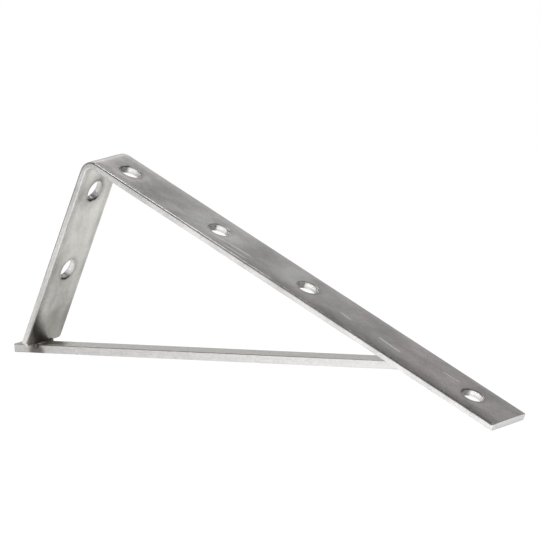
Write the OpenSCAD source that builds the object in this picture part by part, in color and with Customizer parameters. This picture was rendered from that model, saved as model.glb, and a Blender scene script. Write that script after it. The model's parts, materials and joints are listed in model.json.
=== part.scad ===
// Channel support bracket: a flat bar bent into an L, held square by a slanting brace bar.
// The short arm bolts to a wall or post, and the long arm carries the load.
// +X runs along the load arm, +Y across the bar, +Z up.
// The origin is on the wall face, midway between the two wall bolts.

/* [Flat bar] */
// Width of the bent flat bar
bar_w = 30; // [26:1:44]
// Thickness of the bent flat bar
bar_t = 4; // [3:0.5:6]
// Radius of the bar's rolled long edges
bar_edge_r = 0.8; // [0.2:0.1:1.2]
// Inside radius of the bend
bend_r = 3.5; // [2:0.5:8]

/* [Arms] */
// Length of the load arm, from the wall face to its tip
load_arm_l = 278; // [232:1:340]
// Height of the wall arm, from the load face down to its cut end
wall_arm_h = 114; // [90:1:150]
// Corner radius at the tip of the load arm
tip_corner_r = 1; // [0.5:0.5:8]
// Corner radius at the cut end of the wall arm
foot_corner_r = 2.5; // [0.5:0.5:5]

/* [Bolt holes] */
// Diameter of every bolt hole
hole_d = 11; // [7:0.5:13.5]
// Radius of the rolled rim round each hole
hole_rim = 0.4; // [0.1:0.1:0.5]
// Distance from the wall face to the first load hole
load_hole_first = 21; // [18:0.5:30]
// Distance from the first load hole to the second
load_hole_step_2 = 62; // [30:0.5:75]
// Distance from the second load hole to the third
load_hole_step_3 = 60.5; // [20:0.5:75]
// Distance from the last load hole to the tip
tip_hole_inset = 24; // [12:0.5:30]
// Distance from the load face down to the upper wall hole
wall_hole_first = 21; // [18:0.5:24]
// Distance between the two wall holes
wall_hole_pitch = 48; // [20:0.5:60]

/* [Brace] */
// Width of the brace bar, across the flat bar
brace_w = 12; // [8:0.5:18]
// Thickness of the brace bar
brace_t = 4.5; // [3:0.5:7]
// Radius of the brace bar's long edges
brace_edge_r = 0.5; // [0.2:0.1:1]
// Distance from the wall face to where the top of the brace meets the load arm
brace_reach = 210.5; // [150:0.5:215]
// How far the brace runs on past the wall face
stub_reach = 9.3; // [5:0.1:20]
// Gap that the weld bridges, between the wall arm's inner lower edge and the brace
root_gap = 0.4; // [0.2:0.1:1.5]

/* [Weld beads] */
// Radius of the beads where the brace passes the wall arm
lower_bead_r = 2.6; // [2.2:0.1:4]
// Length of those beads between the centres of their end runs
lower_bead_l = 2; // [1:0.1:3]
// Radius of the beads under the load arm
upper_bead_r = 2.5; // [2:0.1:4]

/* [Hidden] */
$fn = 96;

through = 2;                                    // how far a cutter stands clear of what it cuts
outer_r = bend_r + bar_t;                       // outside radius of the bend
load_face_z = wall_hole_first + wall_hole_pitch / 2;
underside_z = load_face_z - bar_t;              // lower face of the load arm
foot_z = load_face_z - wall_arm_h;              // cut end of the wall arm

load_hole_x = [load_hole_first,
               load_hole_first + load_hole_step_2,
               load_hole_first + load_hole_step_2 + load_hole_step_3,
               load_arm_l - tip_hole_inset];
wall_hole_z = [wall_hole_pitch / 2, -wall_hole_pitch / 2];

// The brace's top face runs through the corner point below the wall arm's inner lower edge.
corner_x = bar_t;
corner_z = foot_z - root_gap;
brace_rise = underside_z - corner_z;
brace_run = brace_reach - corner_x;
brace_angle = atan(brace_rise / brace_run);
stub_l = (stub_reach + corner_x) / cos(brace_angle);
mitre_l = brace_t / sin(brace_angle);           // length of the brace's cut face under the load arm
brace_l = stub_l + brace_run / cos(brace_angle) + brace_t / tan(brace_angle);

// A bead is a row of overlapping runs, sunk into the corner so that its legs match its throat.
bead_pitch = 0.7;                               // distance between runs, as a share of the bead's radius
lower_bead_drop = 0.35;                         // depth of the bead's axis under the plate, as a share of its radius
lower_bead_side = 0.1;                          // how far its axis stands off the brace, the same way
lower_bead_x = bar_t - lower_bead_l;            // its last run is under the arm's inner face
upper_bead_drop = 0.35;
upper_bead_side = 0.15;

module rounded_rectangle(size, r) {
    square([size.x - 2 * r, size.y], center = true);
    square([size.x, size.y - 2 * r], center = true);
    for (x = [-1, 1], y = [-1, 1])
        translate([x * (size.x / 2 - r), y * (size.y / 2 - r)]) circle(r);
}

// Section of the flat bar, with its thickness along X
module bar_section() {
    rounded_rectangle([bar_t, bar_w], bar_edge_r);
}

// The waste outside a rounded corner whose point is at the origin and whose arc is on the minus side
module corner_waste(r) {
    difference() {
        translate([-r, -r]) square(r + through);
        translate([-r, -r]) circle(r);
        translate([-r - through, -r - through]) square([through, 2 * r + 2 * through]);
    }
}

// The waste of one bolt hole, along Z, with both rims rolled over as a punch leaves them
module bolt_hole() {
    rim_x = hole_d / 2 + hole_rim;
    cylinder(h = bar_t + 2 * through, d = hole_d, center = true);
    for (side = [0, 180])
        rotate([side, 0, 0])
            translate([0, 0, bar_t / 2 - hole_rim])
                rotate_extrude() difference() {
                    square([rim_x, hole_rim + through]);
                    translate([rim_x, 0]) circle(hole_rim);
                }
}

// The two arms and the bend between them, before they are cut and drilled
module bent_bar() {
    translate([outer_r, 0, load_face_z - bar_t / 2])
        rotate([0, 90, 0]) linear_extrude(load_arm_l - outer_r) bar_section();
    translate([outer_r, 0, load_face_z - outer_r])
        rotate([90, 0, 0]) rotate([0, 0, 90]) rotate_extrude(angle = 90)
            translate([bend_r + bar_t / 2, 0]) bar_section();
    translate([bar_t / 2, 0, foot_z])
        linear_extrude(wall_arm_h - outer_r) bar_section();
}

module angle_strip() {
    color("silver") difference() {
        bent_bar();
        for (x = load_hole_x)
            translate([x, 0, load_face_z - bar_t / 2]) bolt_hole();
        for (z = wall_hole_z)
            translate([bar_t / 2, 0, z]) rotate([0, 90, 0]) bolt_hole();
        for (side = [0, 1]) mirror([0, side, 0]) {
            translate([load_arm_l, bar_w / 2, underside_z - through])
                linear_extrude(bar_t + 2 * through) corner_waste(tip_corner_r);
            translate([-through, bar_w / 2, foot_z])
                rotate([0, 90, 0]) linear_extrude(bar_t + 2 * through) corner_waste(foot_corner_r);
        }
    }
}

// The brace bar, square at the stub and mitred to the load arm's underside
module brace_bar() {
    color("lightgray") difference() {
        translate([corner_x, 0, corner_z]) rotate([0, 90 - brace_angle, 0])
            translate([brace_t / 2, 0, -stub_l]) linear_extrude(brace_l)
                rounded_rectangle([brace_t, brace_w], brace_edge_r);
        translate([0, -brace_w, underside_z])
            cube([load_arm_l, 2 * brace_w, load_face_z - underside_z + brace_t]);
    }
}

// A row of runs of radius r along +X, from the origin to length l
module bead(l, r) {
    runs = max(1, round(l / (bead_pitch * r)));
    rotate([0, 90, 0]) rotate_extrude() intersection() {
        union() for (i = [0:runs]) translate([0, l * i / runs]) circle(r);
        translate([0, -r - 1]) square([r + 1, l + 2 * r + 2]);
    }
}

// The bead on one side of the brace where it passes the wall arm's cut end; it stays off the wall face
module lower_weld(side) {
    color("darkgray") difference() {
        translate([lower_bead_x,
                   side * (brace_w / 2 + lower_bead_side * lower_bead_r),
                   foot_z - lower_bead_drop * lower_bead_r])
            bead(lower_bead_l, lower_bead_r);
        angle_strip();
        brace_bar();
        translate([-2 * lower_bead_r, -bar_w, foot_z])
            cube([2 * lower_bead_r, 2 * bar_w, 2 * lower_bead_r]);
    }
}

// The bead on one side of the brace's mitred end, under the load arm
module upper_weld(side) {
    color("darkgray") difference() {
        translate([brace_reach,
                   side * (brace_w / 2 + upper_bead_side * upper_bead_r),
                   underside_z - upper_bead_drop * upper_bead_r])
            bead(mitre_l, upper_bead_r);
        angle_strip();
        brace_bar();
    }
}

module lower_weld_front() { lower_weld(-1); }
module lower_weld_back() { lower_weld(1); }
module upper_weld_front() { upper_weld(-1); }
module upper_weld_back() { upper_weld(1); }

angle_strip();
brace_bar();
lower_weld_front();
lower_weld_back();
upper_weld_front();
upper_weld_back();
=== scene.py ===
# %% [markdown]
# # A channel support bracket in satin steel
# The bracket is two flat steel bars and four weld beads. This script takes its sizes and its place from the
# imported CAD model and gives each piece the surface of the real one: rolled edges, punched holes whose rims
# are drawn in, a bend that has pulled hollow, rippled welds and a mill finish with a few scratches.
# Everything is in metres, in the CAD model's own frame: +X runs along the load arm and +Z is up.

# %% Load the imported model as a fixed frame
import json
import math

import bmesh
import bpy
import numpy as np
from mathutils import Matrix, Vector


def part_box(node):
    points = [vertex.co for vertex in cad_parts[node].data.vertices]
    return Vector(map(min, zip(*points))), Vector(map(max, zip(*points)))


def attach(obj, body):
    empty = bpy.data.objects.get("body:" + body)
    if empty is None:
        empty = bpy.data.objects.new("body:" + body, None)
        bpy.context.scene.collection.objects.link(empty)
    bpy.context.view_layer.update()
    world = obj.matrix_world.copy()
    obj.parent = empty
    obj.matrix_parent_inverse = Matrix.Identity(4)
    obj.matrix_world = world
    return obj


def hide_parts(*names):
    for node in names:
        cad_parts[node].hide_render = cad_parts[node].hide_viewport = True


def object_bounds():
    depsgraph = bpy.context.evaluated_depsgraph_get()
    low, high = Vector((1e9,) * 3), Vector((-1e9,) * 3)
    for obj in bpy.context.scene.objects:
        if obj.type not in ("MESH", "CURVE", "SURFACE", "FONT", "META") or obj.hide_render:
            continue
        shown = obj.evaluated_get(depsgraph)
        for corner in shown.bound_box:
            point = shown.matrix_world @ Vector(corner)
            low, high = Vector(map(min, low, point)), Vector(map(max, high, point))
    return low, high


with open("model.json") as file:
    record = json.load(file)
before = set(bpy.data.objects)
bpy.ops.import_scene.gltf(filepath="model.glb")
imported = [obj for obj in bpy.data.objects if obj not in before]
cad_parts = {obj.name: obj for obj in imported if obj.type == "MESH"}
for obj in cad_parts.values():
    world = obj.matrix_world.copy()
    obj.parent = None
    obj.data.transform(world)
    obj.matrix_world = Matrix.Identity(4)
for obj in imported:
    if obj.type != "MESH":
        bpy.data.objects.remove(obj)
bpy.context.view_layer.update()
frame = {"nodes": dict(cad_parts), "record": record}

MM = 0.001
print("CAD nodes:", ", ".join(sorted(frame["nodes"])))

# %% [markdown]
# ## Sizes
# The arms' lengths and the bar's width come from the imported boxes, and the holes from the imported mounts, so
# that the looks follow the CAD model if it changes. Only what a box can't tell, such as the thickness and the
# radii, is written here.

# %% Read the bars' sizes from the frame
BAR_T = 4 * MM
BEND_R = 3.5 * MM
EDGE_R = 1.0 * MM              # rolled long edges, on the outer face
INNER_EDGE_R = 0.7 * MM        # and on the inner face
CUT_EDGE_R = 0.25 * MM         # sheared ends are nearly sharp
FOOT_CORNER_R = 1.8 * MM
TIP_CORNER_R = 1.0 * MM

strip_low, strip_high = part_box("angle_strip")
brace_low, brace_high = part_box("brace_bar")
HALF_W = (strip_high.y - strip_low.y) / 2
OUTER_R = BEND_R + BAR_T
WALL_LEG = strip_high.z - strip_low.z - OUTER_R      # straight part of the wall arm
LOAD_LEG = strip_high.x - strip_low.x - OUTER_R      # straight part of the load arm
BEND_LEN = (BEND_R + BAR_T / 2) * math.pi / 2        # length of the bend along the middle of the bar
UNDERSIDE_Z = strip_high.z - BAR_T

mounts = {m["name"]: m for m in frame["record"]["mounts"]}
HOLE_R = mounts["wall_bolts"]["dims"]["hole_r_mm"] * MM


def hole_pair(mount_name, spacing_key, axis):
    """Places of a mount's two holes along one axis of the frame"""
    mount = mounts[mount_name]
    half = mount["dims"][spacing_key] * MM / 2
    middle = mount["pos_m"][axis]
    return [middle - half, middle + half]


# Places along the flat blank, from the foot of the wall arm to the tip of the load arm
bend_start = WALL_LEG
bend_end = bend_start + BEND_LEN
blank_length = bend_end + LOAD_LEG
hole_places = [z - strip_low.z for z in hole_pair("wall_bolts", "spacing_y_mm", 2)]
for name in ("load_bolts_inner", "load_bolts_outer"):
    hole_places += [x - strip_low.x - OUTER_R + bend_end for x in hole_pair(name, "spacing_x_mm", 0)]
print("blank length %.1f mm, holes at" % (blank_length / MM), [round(s / MM, 1) for s in hole_places])

# %% [markdown]
# ## Small helpers for node trees
# Geometry Nodes and shader nodes are built the same way: make a node, set what isn't linked, link the rest.
# A formula takes one such node for each sum and product, which is hard to read. Here a socket is wrapped as a
# Field, and Python's own operators on Fields add the math nodes, so that a formula reads as it does on paper.

# %% A Field is a socket that can stand in a formula
class Field:
    """An output socket. Operators on it add a math node, or a vector math node where it is a vector"""

    def __init__(self, socket):
        self.socket = socket
        self.tree = socket.id_data

    def math(self, operation, *values):
        """The result of one math node; a plain number beside a vector counts for all three axes"""
        is_vector = self.socket.type == "VECTOR"
        if is_vector:
            values = [(v, v, v) if isinstance(v, (int, float)) else v for v in values]
        kind = "ShaderNodeVectorMath" if is_vector else "ShaderNodeMath"
        output = 1 if operation in ("DOT_PRODUCT", "DISTANCE") else 0
        return node_out(self.tree, kind, dict(enumerate(values)), output, operation=operation)

    def apply(self, operation):
        """This value through a function of one value, such as SINE"""
        return self.math(operation, self)

    def distance(self, other):
        """How far this place is from another"""
        return self.math("DISTANCE", self, other)

    def dot(self, other):
        """1 where this direction and another agree, and 0 where they are square to each other"""
        return self.math("DOT_PRODUCT", self, other)

    def __add__(self, other):
        return self.math("ADD", self, other)

    def __sub__(self, other):
        return self.math("SUBTRACT", self, other)

    def __rsub__(self, other):
        return self.math("SUBTRACT", other, self)

    def __mul__(self, other):
        return self.math("MULTIPLY", self, other)

    def __truediv__(self, other):
        return self.math("DIVIDE", self, other)

    def __pow__(self, other):
        return self.math("POWER", self, other)

    def __abs__(self):
        return self.apply("ABSOLUTE")


# %% Helpers that add and link nodes
def add_node(tree, kind, inputs=None, **settings):
    """A node with its settings and its inputs, each of which is a plain value or a Field to link"""
    node = tree.nodes.new(kind)
    for key, value in settings.items():
        setattr(node, key, value)
    for key, value in (inputs or {}).items():
        if isinstance(value, Field):
            tree.links.new(value.socket, node.inputs[key])
        else:
            node.inputs[key].default_value = value
    return node


def node_out(tree, kind, inputs=None, output=0, **settings):
    """One output of a new node"""
    return Field(add_node(tree, kind, inputs, **settings).outputs[output])


def send(sockets, fields):
    """Links each Field to the input socket of its name"""
    for label, field in fields.items():
        field.tree.links.new(field.socket, sockets[label])


def parts(vector):
    """The x, y and z of a vector"""
    return [Field(socket) for socket in add_node(vector.tree, "ShaderNodeSeparateXYZ", {0: vector}).outputs]


def join(tree, x, y, z):
    """A vector from its x, y and z"""
    return node_out(tree, "ShaderNodeCombineXYZ", {0: x, 1: y, 2: z})


def greater(a, b):
    """The greater of a and b, of which b is a Field"""
    return b.math("MAXIMUM", a, b)


def lesser(a, b):
    """The lesser of a and b, of which b is a Field"""
    return b.math("MINIMUM", a, b)


# %% A helper that starts a tree, and one that grows a mesh from it
# What the sockets hold by name; any other is a plain number
SOCKET_KINDS = {"Geometry": "Geometry", "Color": "Color", "Place": "Vector", "Centre": "Vector",
                "Stretch": "Vector", "Rolled Steel": "Material", "Sheared Steel": "Material",
                "Weld Metal": "Material"}


def new_tree(kind, name, inputs, outputs):
    """A node tree with its sockets: (tree, its inputs as Fields by name, the sockets for its results)"""
    tree = bpy.data.node_groups.new(name, kind)
    for in_out, labels in (("INPUT", inputs), ("OUTPUT", outputs)):
        for label in labels:
            socket_kind = "NodeSocket" + SOCKET_KINDS.get(label, "Float")
            tree.interface.new_socket(label, in_out=in_out, socket_type=socket_kind)
    source = tree.nodes.new("NodeGroupInput")
    sink = tree.nodes.new("NodeGroupOutput")
    return tree, {socket.name: Field(socket) for socket in source.outputs}, sink.inputs


def evaluated_mesh(shell):
    """The mesh that an object's modifiers make"""
    bpy.context.view_layer.update()
    depsgraph = bpy.context.evaluated_depsgraph_get()
    return bpy.data.meshes.new_from_object(shell.evaluated_get(depsgraph), depsgraph=depsgraph)


def grow(name, tree, values, start_mesh=None):
    """A plain mesh object made by a Geometry Nodes tree, with each input set by its identifier"""
    shell = bpy.data.objects.new(name + "_grown", start_mesh or bpy.data.meshes.new(name + "_start"))
    bpy.context.scene.collection.objects.link(shell)
    modifier = shell.modifiers.new("grow", "NODES")
    modifier.node_group = tree
    for item in tree.interface.items_tree:
        if item.in_out == "INPUT" and item.name in values:
            modifier[item.identifier] = values[item.name]
    mesh = evaluated_mesh(shell)
    bpy.data.objects.remove(shell)
    mesh.name = name
    piece = bpy.data.objects.new(name, mesh)
    bpy.context.scene.collection.objects.link(piece)
    low = np.array([v.co for v in mesh.vertices]).min(axis=0) / MM
    high = np.array([v.co for v in mesh.vertices]).max(axis=0) / MM
    print(name, len(mesh.polygons), "faces, box in mm", low.round(2).tolist(), high.round(2).tolist())
    return piece


# %% Helpers for finishes
COLOR_A, COLOR_B, MIXED_COLOR = 6, 7, 2     # the Mix node has sockets for other kinds before its colours


def noise(place, detail=2.0, grit=0.5):
    """Soft noise around zero, about one cloud for each unit of place; grit is how strong its detail is"""
    inputs = {"Vector": place, "Scale": 1.0, "Detail": detail, "Roughness": grit}
    return node_out(place.tree, "ShaderNodeTexNoise", inputs) * 2.0 - 1.0


def rise(value, low, high):
    """0 below low, 1 above high and a smooth rise between them"""
    inputs = {"Value": value, "From Min": low, "From Max": high}
    return node_out(value.tree, "ShaderNodeMapRange", inputs, interpolation_type="SMOOTHSTEP")


def fall(value, low, high):
    """1 below low, 0 above high and a smooth fall between them"""
    return 1.0 - rise(value, low, high)


def mix_color(factor, a, b):
    """Colour a where factor is 0, and b where it is 1"""
    inputs = {"Factor": factor, COLOR_A: a, COLOR_B: b}
    return node_out(factor.tree, "ShaderNodeMix", inputs, MIXED_COLOR, data_type="RGBA")


def tint(a, b):
    """The product of two colours"""
    inputs = {"Factor": 1.0, COLOR_A: a, COLOR_B: b}
    return node_out(a.tree, "ShaderNodeMix", inputs, MIXED_COLOR, data_type="RGBA", blend_type="MULTIPLY")


def shade(color, tone):
    """A colour made lighter or darker by a factor"""
    return tint(color, node_out(tone.tree, "ShaderNodeCombineColor", {0: tone, 1: tone, 2: tone}))


def color_ramp(factor, stops):
    """The colour at factor on a ramp through stops, each of which is (place, colour)"""
    ramp = add_node(factor.tree, "ShaderNodeValToRGB", {0: factor})
    elements = ramp.color_ramp.elements
    for place, color in stops[1:-1]:
        elements.new(place)
    for element, (place, color) in zip(elements, stops):
        element.position = place
        element.color = (*color, 1)
    return Field(ramp.outputs[0])


def finish_group(tree, group, inputs):
    """Places a shader group in a tree: its outputs as Fields by name"""
    node = add_node(tree, "ShaderNodeGroup", inputs, node_tree=group)
    return {socket.name: Field(socket) for socket in node.outputs}


# %% [markdown]
# ## Finishes
# Bright rolled steel has no pattern of its own. What the eye reads as steel is the way its faces vary: fine
# lines that the rolls left along the bar, soft patches where the skin is a little rougher, edges polished by
# handling, a few long scratches, and round each weld the tarnish that heat leaves. Shade and reflection are
# also painted into the colour, round the holes, on the wall arm and where the brace meets its foot. Each of
# these is a shader node group, because both bars use it or one bar uses it in many places. Distances in them
# are in metres.
#
# The lines have to follow the bar round its bend. Object coordinates would cut straight across it, so both
# bars carry an attribute named "blank": the place that each point had on the straight bar before bending.

# %% Group: the lines and patches of a rolled skin
PATCH_STRETCH = 1.7             # a patch is this much longer than it is wide


def rolled_skin_group():
    """Lines and Patches vary about 0, and Height is the relief of both"""
    tree, given, result = new_tree(
        "ShaderNodeTree", "rolled_skin",
        ("Place", "Line Length", "Line Width", "Line Depth", "Patch Size", "Patch Depth"),
        ("Lines", "Patches", "Height"))
    line_cell = join(tree, given["Line Length"], given["Line Width"], given["Line Width"])
    lines = noise(given["Place"] / line_cell, detail=3.0, grit=0.62)
    patch_cell = join(tree, given["Patch Size"] * PATCH_STRETCH, given["Patch Size"], given["Patch Size"])
    patches = noise(given["Place"] / patch_cell, detail=4.0, grit=0.55)
    height = lines * given["Line Depth"] + patches * given["Patch Depth"]
    send(result, {"Lines": lines, "Patches": patches, "Height": height})
    return tree


rolled_skin = rolled_skin_group()


# %% Group: one long scratch from handling
SCRATCH_WANDER = 0.3 * MM
WANDERS_PER_M = (150, 0, 0)     # how often a scratch sways, along the bar only
GAPS_PER_M = (300, 300, 0)      # how often it skips
SCRATCH_GAPS = (-0.9, -0.4)     # values of the noise between which a gap ends
SCRATCH_EDGE = (0.2, 1.0)       # shares of its width between which it fades sideways
SCRATCH_START, SCRATCH_END = (0.0, 0.1), (0.85, 1.0)     # shares of its length where it sets in and ends
UPPER_SKIN = (0.5 * BAR_T, 0.9 * BAR_T)


def scratch_group():
    """Mark is 1 on a thin, slightly wavering line that starts at Along and Across and leans by Lean"""
    tree, given, result = new_tree(
        "ShaderNodeTree", "scratch", ("Place", "Along", "Across", "Length", "Lean", "Width"), ("Mark",))
    along_bar, across_bar, through = parts(given["Place"])
    run = along_bar - given["Along"]
    share = run / given["Length"]
    wander = noise(given["Place"] * WANDERS_PER_M) * SCRATCH_WANDER
    centre = run * given["Lean"] + given["Across"] + wander
    on_line = fall(abs(across_bar - centre) / given["Width"], *SCRATCH_EDGE)
    unbroken = rise(noise(given["Place"] * GAPS_PER_M), *SCRATCH_GAPS)
    ends = rise(share, *SCRATCH_START) * fall(share, *SCRATCH_END)
    send(result, {"Mark": on_line * unbroken * ends * rise(through, *UPPER_SKIN)})
    return tree


scratch = scratch_group()


# %% Group: the tarnish that a weld's heat leaves, which also serves for patches of painted shade
HEAT_SHADE_SWAYS_PER_M = 160
HEAT_SHADE_SWAY = 0.1                 # how far a patch's border sways, as a share of its reach


def heat_and_shade_group():
    """Heat And Shade is 1 up to the share Full of the way from Centre to Reach and falls to 0 there, for
    tarnish and painted shade
    """
    tree, given, result = new_tree(
        "ShaderNodeTree", "weld_heat", ("Place", "Centre", "Stretch", "Reach", "Full"), ("Heat",))
    distance = (given["Place"] * given["Stretch"]).distance(given["Centre"] * given["Stretch"])
    sway = noise(given["Place"] * HEAT_SHADE_SWAYS_PER_M, detail=3.0, grit=0.6) * HEAT_SHADE_SWAY
    send(result, {"Heat": fall(distance / given["Reach"] + sway, given["Full"], 1.0)})
    return tree


weld_heat = heat_and_shade_group()


# %% Group: a ring of painted shade round a punched hole, deeper on one side of it
RING_SWAYS_PER_M = 420
RING_SWAY = 0.7 * MM
RING_FADE = (0.6 * MM, 2.8 * MM)    # distances outside the hole between which the ring fades
SHADED_SIDE_FADE = (0.5 * MM, 1.6 * MM)
SHADED_SIDE_SHARES = (0.68, 0.92)            # shares of the radius towards the wall arm's foot where the painted shade of that side sets in


def hole_shade_group():
    """Ring is 1 at the hole and fades just outside it; Shaded Side is its part on the wall arm foot's side.
    Both mark painted shade
    """
    tree, given, result = new_tree(
        "ShaderNodeTree", "hole_wear", ("Place", "Along", "Radius"), ("Ring", "Burr"))
    distance = (given["Place"] * (1, 1, 0)).distance(join(tree, given["Along"], 0.0, 0.0))
    sway = noise(given["Place"] * RING_SWAYS_PER_M, grit=0.6) * RING_SWAY
    outside = distance - given["Radius"] + sway
    side = (given["Along"] - parts(given["Place"])[0]) / given["Radius"]
    shaded_side = fall(outside, *SHADED_SIDE_FADE) * rise(side, *SHADED_SIDE_SHARES)
    send(result, {"Ring": fall(outside, *RING_FADE), "Burr": shaded_side})
    return tree


hole_wear = hole_shade_group()


def hole_rings_and_shade(place):
    """The painted shade round all six holes: the rings, and their darker sides towards the wall arm's foot"""
    ring, shaded_side = 0.0, 0.0
    for s_hole in hole_places:
        darkening = finish_group(place.tree, hole_wear, {"Place": place, "Along": s_hole, "Radius": HOLE_R})
        ring = greater(ring, darkening["Ring"])
        shaded_side = greater(shaded_side, darkening["Burr"])
    return ring, shaded_side


# %% Group: the colours of hot steel, straw, brown and then a dull grey, also used as painted shade
TARNISH_AND_SHADE = ((0.0, (1.0, 1.0, 1.0)), (0.2, (0.90, 0.885, 0.87)), (0.45, (0.60, 0.585, 0.57)),
           (0.7, (0.34, 0.32, 0.31)), (1.0, (0.2, 0.19, 0.185)))


def tarnish_and_shade_group():
    """Multiplies Color by the tarnish, and the painted shade, that Heat And Shade gives"""
    tree, given, result = new_tree("ShaderNodeTree", "tarnish", ("Color", "Heat"), ("Color",))
    send(result, {"Color": tint(given["Color"], color_ramp(given["Heat"], TARNISH_AND_SHADE))})
    return tree


# %% Group: edges polished by handling
EDGE_FADE = (0.3 * MM, 1.6 * MM)    # distances from the bar's side between which the polish fades
EDGE_GAPS_PER_M, EDGE_GAPS = (120, 500, 500), (-0.5, 0.3)


def edge_group():
    """Edge is 1 along the two long edges of a bar, broken up by small patches; Calm is 0 there"""
    tree, given, result = new_tree("ShaderNodeTree", "edge_polish", ("Place", "Half Width"), ("Edge", "Calm"))
    near = fall(given["Half Width"] - abs(parts(given["Place"])[1]), *EDGE_FADE)
    unbroken = rise(noise(given["Place"] * EDGE_GAPS_PER_M, detail=3.0), *EDGE_GAPS)
    send(result, {"Edge": near * unbroken, "Calm": 1.0 - near})
    return tree


tarnish = tarnish_and_shade_group()
edge_polish = edge_group()
print("shader groups:", ", ".join(g.name for g in bpy.data.node_groups))

# %% [markdown]
# The metals themselves are Principled shaders. Their colour is close to one grey, because steel takes most
# of its colour from what it mirrors, and it drifts only a little between a greenish and a pinkish grey.

# %% Where the welds' heat reached, and where shade and reflection are painted by the foot
# (centre, stretch per axis, reach, share of the reach at full heat, strength)
EVEN = (1, 1, 1)
INNER_X = strip_low.x + BAR_T
# The foot's two patches on the wall arm's inner face are painted shade, with a painted dark reflection of the
# brace.
FOOT_SHADE = ((INNER_X, -15 * MM, strip_low.z), EVEN, 31 * MM, 0.26, 0.7)
FOOT_SHADE_HAZE = ((INNER_X, 4 * MM, strip_low.z + 4 * MM), EVEN, 29 * MM, 0.3, 0.52)
# The stub's patch is painted shade and reflection on the brace by the wall arm's foot.
STUB_SHADE = ((INNER_X, 0, strip_low.z + 3 * MM), (1, 2.5, 1), 22 * MM, 0.15, 1.0)
# The bead's patch on the brace's near side is heat tint and painted shade.
BEAD_HEAT_AND_SHADE = ((INNER_X + 1.5 * MM, -6 * MM, strip_low.z - 4 * MM), EVEN, 8 * MM, 0.25, 0.85)
TIP_HEAT = ((brace_high.x - 4 * MM, 0, UNDERSIDE_Z - 5 * MM), EVEN, 11 * MM, 0.15, 0.5)


def heat_and_shade_of(tree, heat_and_shade_spots):
    """The tarnish and painted shade of several patches, as the strongest at each point"""
    here = node_out(tree, "ShaderNodeTexCoord", output="Object")
    heat_and_shade = 0.0
    for centre, stretch, reach, full, strength in heat_and_shade_spots:
        inputs = {"Place": here, "Centre": centre, "Stretch": stretch, "Reach": reach, "Full": full}
        heat_and_shade = greater(heat_and_shade, finish_group(tree, weld_heat, inputs)["Heat"] * strength)
    return heat_and_shade


# %% The marks of handling on the strip, and its patches of tone and painted shade
LOAD_ARM_START = bend_end - strip_low.x - OUTER_R    # how far along the blank the load arm's x = 0 lies
# Long marks from sliding the brackets over each other, in mm: along the load arm, across it, length, lean
# (without a unit) and width
SCRATCHES = ((84, -8.2, 27, 0.08, 0.45), (93, -11.3, 18, 0.03, 0.4), (168, -3.4, 8, -0.1, 0.4),
             (193, -3.5, 17, -0.06, 0.5), (231, 3, 12, 0.05, 0.3))
# In mm: place along the load arm, across it, and reach; then the tone
LOAD_CLOUDS = ((34, -5, 25, -0.24), (79, 2, 24, 0.2), (94, 6, 16, 0.15), (134, 2, 16, 0.4),
               (178, -2, 26, -0.06))
# The same for the painted shade on the wall arm, the bend's shadow among it, with the height first
WALL_SHADE = ((36, 9, 14, -0.2), (24, -4, 16, -0.36), (-25, -5, 12, -0.2), (-45, -1, 12, -0.16),
               (-35, -13, 30, -0.12))
CLOUDS = [(LOAD_ARM_START + x * MM, y * MM, reach * MM, tone) for x, y, reach, tone in LOAD_CLOUDS]
CLOUDS += [(z * MM - strip_low.z, y * MM, reach * MM, tone) for z, y, reach, tone in WALL_SHADE]
CLOUD_CORE = 0.15               # share of a cloud's reach that has its full tone
CLOUD_SWAY = 5 * MM
print(len(SCRATCHES), "scratches and", len(CLOUDS), "clouds on the strip")


def scratch_marks(place):
    """1 on the scratches of the load arm's outer face"""
    mark = 0.0
    for along, across, length, lean, width in SCRATCHES:
        inputs = {"Place": place, "Along": along * MM + LOAD_ARM_START, "Across": across * MM,
                  "Length": length * MM, "Lean": lean, "Width": width * MM}
        mark = greater(mark, finish_group(place.tree, scratch, inputs)["Mark"])
    return mark


def clouds(place, drift):
    """Wide soft patches that make the bar lighter or darker; those on the wall arm are painted shade"""
    on_face = place * (1, 1, 0)
    total = 0.0
    for along, across, reach, tone in CLOUDS:
        distance = on_face.distance((along, across, 0)) + drift * CLOUD_SWAY
        total = fall(distance, CLOUD_CORE * reach, reach) * tone + total
    return total


# %% What darkens or lightens each bar, as shares of its brightness
# Painted shade round the holes: the ring, and the side towards the wall arm's foot on the face and in the bore
RING_SHADE, FACE_SIDE_SHADE, BORE_SIDE_SHADE = 0.2, 0.52, 0.68
WALL_MARGIN = (9 * MM, 13 * MM)     # distances from the middle line between which a margin sets in
TIP_MARGIN = (5 * MM, 13 * MM)
TIP_MARGIN_START = (LOAD_ARM_START + 185 * MM, LOAD_ARM_START + 250 * MM)
MARGIN_TONE = 0.18
SIDE_SHARE = 0.35                   # share of the margin's tone that reaches the bar's sides
STRIPE_ACROSS = (-11.5 * MM, -3 * MM)       # places across the bar between which the darker stripe ends
# and places along it between which the stripe sets in
STRIPE_START = (LOAD_ARM_START + 90 * MM, LOAD_ARM_START + 170 * MM)
STRIPE_SWAY = 1.5 * MM
STRIPE_TONE = 0.2
NEAR_SIDE_BLEND = (0.2 * MM, 0.6 * MM)      # distances from the near side between which the painted shade ends
NEAR_SIDE_SHADE_ALONG, NEAR_SIDE_SHADE_TONE = (-20 * MM, 230 * MM), 0.22


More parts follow.
